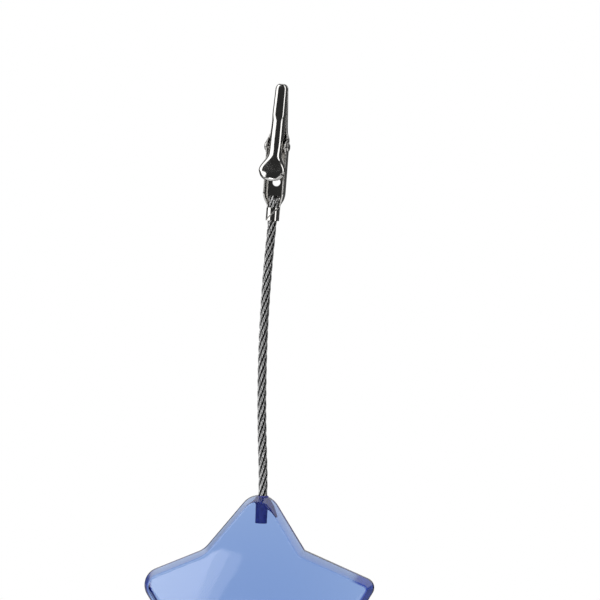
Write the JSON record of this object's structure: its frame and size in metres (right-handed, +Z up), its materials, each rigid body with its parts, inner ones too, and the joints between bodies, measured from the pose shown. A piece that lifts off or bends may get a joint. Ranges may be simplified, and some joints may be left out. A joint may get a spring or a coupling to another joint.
{
  "type": "memo holder",
  "caption": "Desk memo holder: clear blue star that stands on two points, an upright twisted steel wire rope and a sprung nickel clip that grips a note.",
  "frame": {"origin": "on the table, midway between the two feet and midway through the star's thickness", "axes": "+Z up along the rope, +X to the right as seen from the front, -Y out of the star's front face"},
  "size_m": [0.0502, 0.0116, 0.1393],
  "materials": {
    "star_plastic": "clear, polished",
    "adhesive": "cured, glossy",
    "rope_steel": "bright drawn wire",
    "clip_nickel": "bright nickel plate",
    "rivet_nickel": "bright nickel plate",
    "spring_steel": "drawn spring wire"
  },
  "bodies": {
    "base": {"star_base": "star_plastic", "glue_fill": "adhesive", "core_strand": "rope_steel", "outer_strand_1": "rope_steel", "outer_strand_2": "rope_steel", "outer_strand_3": "rope_steel", "outer_strand_4": "rope_steel", "outer_strand_5": "rope_steel", "outer_strand_6": "rope_steel", "lower_jaw": "clip_nickel", "pivot_rivet": "rivet_nickel", "torsion_spring": "spring_steel"},
    "lever": {"upper_jaw": "clip_nickel"}
  },
  "joints": [
    {"name": "jaw_hinge", "type": "hinge", "parent": "base", "child": "lever", "pos_m": [0.00098, -0.0006, 0.12574], "axis": [0.9916, -0.1219, -0.0433], "range_deg": [0, 18], "stiffness_Nm_per_rad": 0.02, "springref_deg": -57.3, "deforming": ["torsion_spring"]}
  ]
}
